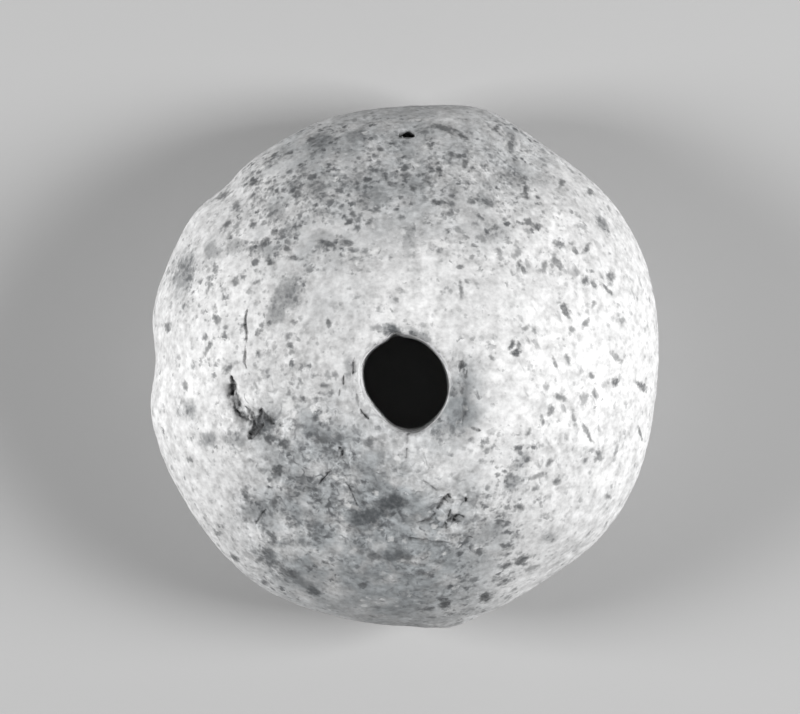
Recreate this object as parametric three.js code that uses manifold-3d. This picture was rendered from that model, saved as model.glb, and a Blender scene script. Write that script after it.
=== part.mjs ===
// A stone spindle whorl: one stone, ground by hand to a dome over a flat underside and drilled through
// for the spindle. Millimetres, +Z up. The origin is at the bottom centre of the stone, and the hole
// stands a little off that centre, as it was drilled. Seen from above, +X is to the right and +Y is up.

import * as THREE from "three";
import { mergeVertices } from "three/addons/utils/BufferGeometryUtils.js";
import Module from "manifold-3d";

// The true round form, before its marks
const GIRTH_RADIUS = 22.5; // mean radius at the widest place
const GIRTH_HEIGHT = 6; // the widest place above the underside
const DOME_RISE = 18; // where the dome would close over the hole, above the girth
const DOME_POWER = 1.7; // 1 would make the dome a cone, and 2 half an ellipsoid
const BASE_RADIUS = 14; // the flat that the stone lies on
const HOLE_RADIUS = 3.7; // mean radius at the throat, the narrowest place of the hole
const HOLE_OVAL = 0.2; // how far the long axis of the throat goes past the mean
const HOLE_OVAL_TURN = 106; // degrees, where the long axis points
const HOLE_CENTRE = new THREE.Vector2(0, -1.4);
const THROAT_HEIGHT = 12;
const UPPER_MOUTH = 0.35; // how much wider the hole is at the crown than at the throat
const LOWER_MOUTH = 1.5; // the same at the underside

// Facets round the stone, and the steps along each stretch of the profile
const TURN_STEPS = 108;
const UPPER_MOUTH_STEPS = 8;
const DOME_STEPS = 19;
const LOWER_EDGE_STEPS = 6;
const UNDERSIDE_STEPS = 3;
const LOWER_MOUTH_STEPS = 5;
const CAVITY_SIDES = 8;
const CAVITY_RINGS = 6;

// Flats, corners and nicks of the outline: where each one is in degrees from +X, how far it reaches to
// either side in degrees, and how far it stands out, or is cut back where that is below zero.
const RIM_MARKS = [
  { at: 354, reach: 30, out: -0.65 }, // right flat
  { at: 36, reach: 24, out: 0.4 }, // upper right swell
  { at: 73, reach: 18, out: 0.85 }, // upper right corner
  { at: 124, reach: 18, out: -0.17 }, // upper left flat
  { at: 134.5, reach: 6, out: -0.45 }, // upper left nick
  { at: 146, reach: 8, out: 0.2 }, // shoulder beside that nick
  { at: 179, reach: 12, out: -0.85 }, // left nick
  { at: 236, reach: 24, out: 0.37 }, // lower left swell
  { at: 279, reach: 10, out: 0.45 }, // bottom corner
  { at: 304, reach: 18, out: -0.37 }, // lower right flat
];
const HOLE_MARKS = [
  { at: 50, reach: 26, out: -0.1 }, // fuller upper right side
  { at: 103, reach: 11, out: 0.42 }, // chip in the top of the hole
  { at: 150, reach: 36, out: 0.24 }, // worn upper left side
  { at: 226, reach: 46, out: -0.34 }, // straight lower left side
  { at: 284, reach: 24, out: 0.17 }, // worn bottom
  { at: 345, reach: 40, out: 0.1 }, // worn right side
];
const RIM_FADE = 90; // over a mark's reach, the power by which it dies away towards the hole
const HOLE_FADE = 5; // power by which a mark of the hole dies away towards the rim
const WEAR_FADE = 8; // power by which the wear of the domed face dies away at the girth

// Hollows and swells of the domed face: place seen from above, reach, and depth into the stone
const HOLLOWS = [
  { x: 5.2, y: -3.9, reach: 3.8, depth: 0.8 }, // mouth worn wide by the spindle
  { x: -13.9, y: -3.4, reach: 3.4, depth: 0.4 }, // round the gash
  { x: -6.5, y: -11.8, reach: 8.5, depth: 0.6 }, // lower left facet
  { x: 3.9, y: -12.2, reach: 2.8, depth: 0.3 }, // pitted place
  { x: 9.6, y: 18.2, reach: 6, depth: 0.5 }, // flake off the upper right shoulder
  { x: -0.5, y: 15.5, reach: 9, depth: 0.5 }, // upper facet
  { x: 2.6, y: 10.6, reach: 4, depth: -0.3 }, // edge of the crown above the hole
  { x: -11.6, y: -18, reach: 3, depth: 0.3 }, // bruise at the lower left edge
];

// Slow waves that grinding by hand left over the whole domed face
const GRINDING_WAVES = [
  { length: 11, towards: 20, height: 0.09 },
  { length: 7.5, towards: 75, height: 0.07 },
  { length: 9, towards: 140, height: 0.08 },
];

// Sharp cavities in the domed face: their two ends seen from above, their width and their depth
const CAVITIES = [
  { from: [-15.2, -0.8], to: [-14.5, -3.5], width: 0.9, depth: 0.6 }, // gash, upper arm
  { from: [-14.8, -2.9], to: [-12.9, -5.7], width: 1.0, depth: 0.7 }, // gash, lower arm
  { from: [-13.3, -5.3], to: [-11.7, -4.2], width: 1.2, depth: 0.5 }, // gash, broken end
  { from: [-0.6, 20], to: [0.8, 20.05], width: 1.0, depth: 0.9 }, // pinhole near the top edge
  { from: [2.9, -12.2], to: [3.8, -10.7], width: 0.7, depth: 0.5 }, // pit below the hole
  { from: [3.5, -13.5], to: [5.1, -12.8], width: 0.9, depth: 0.5 }, // the pit beside it
];

const STONE = { color: 0xc1c2c2, roughness: 0.85, metalness: 0 };

const radians = THREE.MathUtils.degToRad;
const wasm = await Module();
wasm.setup();

// 1 in the middle of a mark and 0 from its reach outwards, smooth in between.
function fade(distance, reach) {
  const share = Math.min(Math.abs(distance) / reach, 1);
  return Math.cos((share * Math.PI) / 2) ** 2;
}

// How far the marks move the stone outwards at an angle in degrees. The weight depends on the reach.
function marksAt(angle, marks, weight) {
  const turned = (at) => THREE.MathUtils.euclideanModulo(angle - at + 180, 360) - 180;
  const moves = marks.map(({ at, reach, out }) => out * fade(turned(at), reach) * weight(reach));
  return moves.reduce((sum, move) => sum + move, 0);
}

// How deep the domed face lies below its true form at a place seen from above.
function wearAt(x, y) {
  const hollows = HOLLOWS.map((h) => h.depth * fade(Math.hypot(x - h.x, y - h.y), h.reach));
  const waves = GRINDING_WAVES.map(({ length, towards, height }) => {
    const along = x * Math.cos(radians(towards)) + y * Math.sin(radians(towards));
    return height * Math.sin((2 * Math.PI * along) / length);
  });
  return [...hollows, ...waves].reduce((sum, depth) => sum + depth, 0);
}

// The dome's profile, from the girth up to the lip of the hole.
class DomeCurve extends THREE.Curve {
  constructor() {
    super();
    this.lip = Math.acos(((HOLE_RADIUS + UPPER_MOUTH) / GIRTH_RADIUS) ** (DOME_POWER / 2));
  }

  getPoint(t, target = new THREE.Vector2()) {
    const turn = t * this.lip;
    const out = Math.cos(turn) ** (2 / DOME_POWER);
    const up = Math.sin(turn) ** (2 / DOME_POWER);
    return target.set(GIRTH_RADIUS * out, GIRTH_HEIGHT + DOME_RISE * up);
  }
}

// The profile from the throat down under the stone, up round the girth and back over the dome, as
// points of radius and height, each with the share of the wear that reaches it.
function wornProfile() {
  const dome = new DomeCurve();
  const lowerEdge = new THREE.EllipseCurve(
    BASE_RADIUS, GIRTH_HEIGHT, GIRTH_RADIUS - BASE_RADIUS, GIRTH_HEIGHT, -Math.PI / 2, 0,
  );
  const throat = new THREE.Vector2(HOLE_RADIUS, THROAT_HEIGHT);
  const crown = dome.getPoint(1);
  const lowerLip = new THREE.Vector2(HOLE_RADIUS + LOWER_MOUTH, 0);
  const lowerMouth = new THREE.QuadraticBezierCurve(
    throat, new THREE.Vector2(HOLE_RADIUS, 0), lowerLip,
  );
  const underside = new THREE.LineCurve(lowerLip, lowerEdge.getPoint(0));
  const upperMouth = new THREE.QuadraticBezierCurve(
    crown, new THREE.Vector2(HOLE_RADIUS, crown.y), throat,
  );
  const stretches = [
    { curve: lowerMouth, steps: LOWER_MOUTH_STEPS, wear: [0, 0] },
    { curve: underside, steps: UNDERSIDE_STEPS, wear: [0, 0] },
    { curve: lowerEdge, steps: LOWER_EDGE_STEPS, wear: [0, 0] },
    { curve: dome, steps: DOME_STEPS, wear: [1, 1] },
    { curve: upperMouth, steps: UPPER_MOUTH_STEPS, wear: [1, 0] },
  ];
  const points = stretches.flatMap(({ curve, steps, wear }) =>
    curve.getPoints(steps).slice(0, -1).map((point, step) => ({
      point,
      wear: THREE.MathUtils.lerp(wear[0], wear[1], step / steps),
    })),
  );
  return [...points, points[0]];
}

// Moves one point of the round form to where the hand-made stone has it.
function shapePoint(vertex, wear) {
  const angle = Math.atan2(vertex.y, vertex.x);
  const degrees = THREE.MathUtils.radToDeg(angle);
  const round = Math.hypot(vertex.x, vertex.y);
  const share = Math.max(round - HOLE_RADIUS, 0) / (GIRTH_RADIUS - HOLE_RADIUS); // from hole to girth
  const above = Math.min(vertex.z / THROAT_HEIGHT, 1); // the hole is truer towards the underside
  const oval = HOLE_OVAL * Math.cos(2 * radians(degrees - HOLE_OVAL_TURN));
  const holeMarks = (oval + marksAt(degrees, HOLE_MARKS, () => 1)) * (1 - share) ** HOLE_FADE * above;
  const rimMarks = marksAt(degrees, RIM_MARKS, (reach) => share ** (RIM_FADE / reach));
  const radius = round + holeMarks + rimMarks;
  const centre = HOLE_CENTRE.clone().multiplyScalar(1 - share);
  const x = centre.x + radius * Math.cos(angle);
  const y = centre.y + radius * Math.sin(angle);

  // The wear goes straight into the dome, along its normal, and stops short of the outline.
  const up = Math.max(vertex.z - GIRTH_HEIGHT, 0);
  const normal = new THREE.Vector2(
    (round / GIRTH_RADIUS) ** (DOME_POWER - 1) / GIRTH_RADIUS,
    (up / DOME_RISE) ** (DOME_POWER - 1) / DOME_RISE,
  ).normalize();
  const depth = wear * wearAt(x, y) * (1 - share ** WEAR_FADE);
  const inward = depth * normal.x;
  vertex.set(x - inward * Math.cos(angle), y - inward * Math.sin(angle), vertex.z - depth * normal.y);
}

// The ground and drilled stone, turned as a round form and then given its marks and wear.
function groundStone() {
  const profile = wornProfile();
  const geometry = new THREE.LatheGeometry(profile.map(({ point }) => point), TURN_STEPS);
  geometry.rotateX(Math.PI / 2); // the lathe turns about Y, and the hole stands along Z
  const position = geometry.getAttribute("position");
  const vertex = new THREE.Vector3();
  for (let i = 0; i < position.count; i++) {
    vertex.fromBufferAttribute(position, i);
    shapePoint(vertex, profile[i % profile.length].wear);
    position.setXYZ(i, vertex.x, vertex.y, vertex.z);
  }
  return geometry;
}

// The point of the stone's upper face, and the normal there, at a place seen from above.
function upperFaceAt(stone, x, y) {
  const above = new THREE.Vector3(x, y, 2 * (GIRTH_HEIGHT + DOME_RISE));
  const [hit] = new THREE.Raycaster(above, new THREE.Vector3(0, 0, -1)).intersectObject(stone);
  return { point: hit.point, normal: hit.face.normal };
}

// A long round pit, as the ellipsoid that has to go, sunk into the upper face from end to end.
function cavityCutter(stone, { from, to, width, depth }) {
  const start = upperFaceAt(stone, ...from).point;
  const end = upperFaceAt(stone, ...to).point;
  const { point, normal } = upperFaceAt(stone, (from[0] + to[0]) / 2, (from[1] + to[1]) / 2);
  const along = end.clone().sub(start).multiplyScalar(0.5);
  const across = normal.clone().cross(along).setLength(width / 2);
  const outwards = along.clone().cross(across).setLength(depth);
  const cutter = new THREE.SphereGeometry(1, CAVITY_SIDES, CAVITY_RINGS);
  return cutter.applyMatrix4(new THREE.Matrix4().makeBasis(along, across, outwards).setPosition(point));
}

function solidOf(geometry) {
  const bare = new THREE.BufferGeometry();
  bare.setAttribute("position", geometry.getAttribute("position"));
  bare.setIndex(geometry.getIndex());
  const merged = mergeVertices(bare);
  return new wasm.Manifold(new wasm.Mesh({
    numProp: 3,
    vertProperties: merged.getAttribute("position").array,
    triVerts: new Uint32Array(merged.getIndex().array),
  }));
}

function geometryOf(solid) {
  const { vertProperties, triVerts } = solid.getMesh();
  const geometry = new THREE.BufferGeometry();
  geometry.setAttribute("position", new THREE.BufferAttribute(vertProperties, 3));
  geometry.setIndex(new THREE.BufferAttribute(triVerts, 1));
  geometry.computeVertexNormals();
  return geometry;
}

function whorlGeometry() {
  const ground = groundStone();
  const stone = new THREE.Mesh(ground);
  const cut = (solid, cavity) => solid.subtract(solidOf(cavityCutter(stone, cavity)));
  return geometryOf(CAVITIES.reduce(cut, solidOf(ground)));
}

const whorl = new THREE.Mesh(whorlGeometry(), new THREE.MeshStandardMaterial(STONE));
whorl.name = "whorl";

const part = new THREE.Group();
part.add(whorl);

export default part;
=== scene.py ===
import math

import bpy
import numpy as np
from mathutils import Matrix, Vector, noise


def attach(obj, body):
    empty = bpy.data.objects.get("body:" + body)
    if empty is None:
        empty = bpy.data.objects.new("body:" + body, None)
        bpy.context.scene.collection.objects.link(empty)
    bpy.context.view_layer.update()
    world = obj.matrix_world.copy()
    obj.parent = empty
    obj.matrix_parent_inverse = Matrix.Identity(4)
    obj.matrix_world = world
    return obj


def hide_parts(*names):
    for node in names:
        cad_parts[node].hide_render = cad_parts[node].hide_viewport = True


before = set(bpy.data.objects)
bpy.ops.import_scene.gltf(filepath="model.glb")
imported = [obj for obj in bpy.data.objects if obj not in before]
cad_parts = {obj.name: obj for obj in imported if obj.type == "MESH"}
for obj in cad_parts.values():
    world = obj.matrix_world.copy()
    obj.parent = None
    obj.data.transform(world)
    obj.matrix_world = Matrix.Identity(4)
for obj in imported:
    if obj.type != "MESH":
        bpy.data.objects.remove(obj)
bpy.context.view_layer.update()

# A stone spindle whorl lying on a pale floor, seen from straight above. It is one stone: the imported solid
# with its facets rounded off, the unevenness of hand grinding, the gash, cracks, pits and drill marks sunk
# into it, and the veins, specks, flecks and stains of the stone in its material, with painted light and
# shade in broad places, at the hole and in the cuts. Sizes are in millimetres, and angles in degrees.

MM = 0.001

# The view: how much of the girth's plane the picture shows, and the eye over the stone
GIRTH_HEIGHT = 6.0
VIEW_WIDTH = 69.3
LENS = 250.0
SENSOR = 36.0
EYE_PLACE = np.array((-0.5, 0.8))
EYE_RISE = VIEW_WIDTH * LENS / SENSOR

# The worked mesh: how it is rounded off, and how much finer it gets at the cuts and flecks
MERGE_DISTANCE = 0.000001  # metres, before the stone is brought to millimetres
FACET_ROUNDING = 2
GRID = 0.307
ROUNDING_PULL = 0.5
ROUNDING_TURNS = 3
FINE_MARGIN = 0.22  # how far past a cut the mesh is made finer
CUT_FINENESS = 3
FLECK_FINENESS = 1
FINE_ROUNDING_TURNS = 10
FINE_UPWARD = 0.05  # upward part of a normal from which the mesh is made finer
UPWARD_FADE = 0.2  # upward part of a normal from which the marks of the dome come in full

# Unevenness of the ground surface: size of its lumps, and how far they go in and out
GRINDING = [
    ("hand_grinding", 3.2, 0.42),
    ("pecking", 1.1, 0.2),
    ("stone_grain", 0.5, 0.07),
]
GRINDING_DETAIL = 2
EVEN_SHARE = 0.4  # even places have that share of the coarse ones' unevenness
UNDERSIDE_SHARE = 0.1  # and the flat underside has that share
UNDERSIDE_HEIGHT = 1.0

# Cuts into the domed face: the path that the eye above sees, width, depth, and how dark the dirt and
# painted shade in them are
CUTS = {
    "gash_hollow": ([(-15.0, -1.2), (-14.7, -3.2), (-13.6, -4.5), (-12.4, -4.9)], 1.6, 0.18, 0),
    "gash_upper": ([(-15.15, -0.8), (-15.05, -1.5), (-15.0, -1.95), (-15.05, -2.5)], 0.44, 0.4, 0.92),
    "gash_left": ([(-15.0, -2.5), (-14.95, -3.1), (-14.7, -3.75), (-14.1, -4.3)], 0.34, 0.22, 0.5),
    "gash_lower": ([(-14.6, -3.8), (-14.2, -4.2), (-13.3, -4.8), (-12.9, -5.4)], 0.46, 0.3, 0.85),
    "gash_right": ([(-14.85, -2.3), (-14.65, -2.85), (-14.45, -3.6)], 0.36, 0.3, 0.75),
    "gash_branch": ([(-13.9, -3.5), (-13.5, -4.2), (-13.1, -5.0)], 0.42, 0.3, 0.75),
    "gash_peak": ([(-12.5, -3.6), (-12.5, -4.2), (-12.8, -4.9)], 0.6, 0.2, 0.6),
    "gash_end": ([(-13.6, -6.3), (-13.2, -5.75), (-12.8, -5.35), (-12.3, -5.0)], 0.9, 0.3, 0.95),
    "gash_end_right": ([(-12.7, -3.8), (-12.4, -4.2), (-12.0, -4.5), (-11.4, -5.0)], 0.66, 0.3, 0.9),
    "crack_upper": ([(-13.7, 5), (-13.9, 4.2), (-13.9, 3.6), (-13.8, 2.9), (-13.8, 2)], 0.26, 0.22, 0.4),
    "crack_lower": ([(-13.9, 1.8), (-13.9, 1.1), (-14.0, 0.5), (-13.8, -0.2)], 0.24, 0.25, 0.3),
    "pinhole": ([(-0.6, 20.0), (0.1, 20.1), (0.8, 20.0)], 0.6, 0.7, 1.0),
    "pit_left": ([(2.7, -12.4), (3.05, -11.9), (3.35, -11.4)], 0.44, 0.2, 0.8),
    "pit_left_end": ([(3.25, -11.45), (3.6, -11.2), (3.95, -11.45)], 0.32, 0.15, 0.55),
    "pit_right": ([(3.5, -13.4), (4.1, -13.25), (4.4, -12.95), (4.7, -12.85)], 0.44, 0.2, 0.85),
    "pit_right_end": ([(4.5, -12.9), (4.8, -13.0), (5.1, -13.15)], 0.26, 0.12, 0.45),
    "pit_upper": ([(3.9, -12.4), (3.75, -12.8), (3.65, -13.15)], 0.28, 0.1, 0.45),
    "pit_low": ([(3.4, -13.55), (3.5, -14.1)], 0.44, 0.14, 0.55),
    "pit_dot": ([(5.15, -11.4), (5.2, -11.8)], 0.42, 0.2, 0.55),
    "drill_left_upper": ([(-4.6, 0.4), (-4.5, -0.2), (-4.6, -0.7)], 0.42, 0.2, 0.6),
    "drill_left_middle": ([(-4.3, -2.4), (-4.2, -3.0), (-4.1, -3.5)], 0.24, 0.15, 0.5),
    "drill_left_lower": ([(-4.0, -3.7), (-3.6, -4.2), (-3.2, -4.6)], 0.36, 0.22, 0.62),
    "drill_left_dot": ([(-5.4, -0.8), (-5.4, -1.6)], 0.25, 0.12, 0.65),
    "drill_left_outer": ([(-5.7, -2.0), (-5.8, -2.6)], 0.22, 0.1, 0.4),
    "drill_right_upper": ([(4.8, 0.5), (4.7, -0.5)], 0.34, 0.2, 0.52),
    "drill_right_outer": ([(5.3, -0.3), (5.2, -1.1)], 0.3, 0.15, 0.5),
    "drill_right_middle": ([(4.9, -1.8), (4.9, -2.5)], 0.3, 0.15, 0.6),
    "drill_right_lower": ([(5.1, -2.7), (5.1, -3.6), (4.9, -4.2), (4.9, -5.1)], 0.34, 0.1, 0.16),
    "drill_right_end": ([(5.6, -5.3), (6.5, -5.6)], 0.28, 0.15, 0.65),
    "lip_groove_left": ([(-4.4, 1), (-4.8, -0.4), (-4.8, -1.8), (-4.4, -3.1), (-3.4, -4.5)], 0.9, 0.14, 0),
    "lip_groove_right": ([(4.4, 1.1), (4.9, -0.3), (5.0, -2.2), (5.0, -4.0), (4.2, -5.2)], 1.0, 0.16, 0),
    "crack_below": ([(0.1, -5.5), (0.1, -6.7)], 0.42, 0.08, 0.36),
    "crack_below_end": ([(0.1, -7.1), (0.0, -8.0)], 0.36, 0.12, 0.3),
    "comma": ([(-5.8, -7.0), (-5.5, -7.3), (-5.5, -7.8)], 0.46, 0.2, 0.6),
    "scratch_left": ([(-6.5, -9.1), (-7.6, -10.3)], 0.32, 0.12, 0.3),
    "scratch_right": ([(-5.0, -10.3), (-4.6, -11.1), (-4.2, -12.1)], 0.24, 0.1, 0.15),
    "scratch_low": ([(0.9, -13.6), (1.6, -13.45), (2.1, -13.2), (2.6, -12.7)], 0.36, 0.1, 0.5),
    "scratch_above_pits": ([(1.6, -10.0), (2.7, -10.8)], 0.28, 0.1, 0.4),
    "scratch_lowest": ([(0.3, -14.9), (2.1, -15.3), (3.7, -15.3)], 0.44, 0.1, 0.5),
    "scratch_lowest_right": ([(4.6, -15.0), (5.8, -14.85)], 0.44, 0.1, 0.5),
    "bruise_stroke": ([(-12.1, -12.4), (-13.0, -13.7)], 0.4, 0.12, 0.36),
}
CUT_RAGGED = 0.3  # share of its width by which the edge of a cut wanders
CUT_GRAIN = 0.35
CUT_STEEPNESS = 1.2
CUT_SLENDER = 0.15  # share of its width that a cut has at its ends

# Ovals on the domed face as the eye above sees them: x, y, half length, half width, tilt, strength
# Stains, with painted shadows at the top edge of the hole among them
STAINS_AND_SHADOWS = [
    (-10.3, 6.1, 1.5, 1.05, 45, 0.64),
    (-11.1, 5, 1.1, 0.9, 60, 0.58),
    (-14.6, -3.2, 1, 0.4, -65, 0.35),
    (-12.5, -5.1, 1.1, 0.9, -30, 0.9),
    (-4.9, 0, 0.8, 0.35, 95, 0.4),
    (5.1, -0.3, 1.2, 0.6, 100, 0.25),
    (4.7, -2.6, 1.7, 1, 85, 0.35),
    (5, -3.5, 1.2, 0.45, 85, 0.42),
    (-3.3, -13.1, 1.4, 0.9, 0, 0.9),
    (-1.3, -11.9, 1.2, 0.8, 20, 0.97),
    (-19.2, 8.1, 1.6, 0.8, 72, 0.6),
    (-16.8, 10, 0.9, 0.6, 90, 0.48),
    (-14.5, 10.4, 0.9, 0.6, 0, 0.4),
    (-3, 14.7, 1.3, 1, 0, 0.46),
    (-7.6, 15.3, 1.2, 1, 60, 0.46),
    (-11.2, 13.4, 0.9, 0.8, 60, 0.48),
    (-7.4, 19.6, 1.1, 0.7, 0, 0.45),
    (-18.7, -3.7, 0.8, 0.45, 100, 0.55),
    (-17.1, -6.3, 0.7, 0.65, 0, 0.6),
    (-14.7, -6.4, 1, 0.7, 0, 0.5),
    (-9.2, -18.6, 1.8, 0.5, -30, 0.6),
    (-8.1, -19.3, 0.8, 0.4, -40, 0.8),
    (-11.8, -16.6, 0.9, 0.5, 110, 0.74),
    (-13, -12.6, 1.2, 0.8, 20, 0.46),
    (-9.1, -13, 0.9, 0.6, 0, 0.38),
    (-7.8, -13.9, 0.9, 0.5, -30, 0.55),
    (-8.8, -10, 1.2, 0.8, 60, 0.35),
    (-8.1, -5.7, 1.2, 0.5, -20, 0.48),
    (-6.5, -6.2, 1.2, 0.5, -10, 0.48),
    (-0.8, -16.5, 1.2, 0.45, 0, 0.76),
    (-2.7, -16.5, 0.7, 0.4, 0, 0.72),
    (-12, -0.7, 0.5, 0.35, 90, 0.3),
    (-9.9, 0.1, 0.45, 0.2, 90, 0.3),
    # Painted shadows along the top edge of the hole
    (-1.2, 3.1, 0.9, 0.5, -15, 0.95),
    (1.2, 2.7, 1.1, 0.4, -30, 0.6),
    (4.9, -4.2, 1.5, 1, 70, 0.42),
    (3.4, -5.5, 1.3, 0.8, 20, 0.4),
    (6.1, -14.9, 1.2, 0.5, 20, 0.4),
    (7.4, -14.2, 1.2, 0.6, 30, 0.3),
    (9.2, -10.1, 1, 0.5, 40, 0.45),
    (10.1, -8.2, 0.9, 0.45, 60, 0.4),
    (12.4, -14.7, 0.6, 0.5, 0, 0.45),
    (9.4, 16.5, 1.2, 0.9, 120, 0.3),
    (7, 14.4, 0.8, 0.5, 150, 0.42),
    (0.3, 10.9, 1.1, 0.5, 90, 0.4),
    (9.1, 19.9, 0.8, 0.5, 100, 0.45),
    (17, 12.4, 0.9, 0.4, 120, 0.6),
    (7, 11.9, 2.2, 1.1, -20, 0.18),
    (-4.2, 19.8, 1, 0.6, 0, 0.5),
    (-7.2, 11.1, 1, 0.7, 0, 0.3),
    (-12.2, 10.2, 0.8, 0.8, 0, 0.45),
    (-1.1, 5.9, 0.5, 0.4, 0, 0.3),
]

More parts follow.
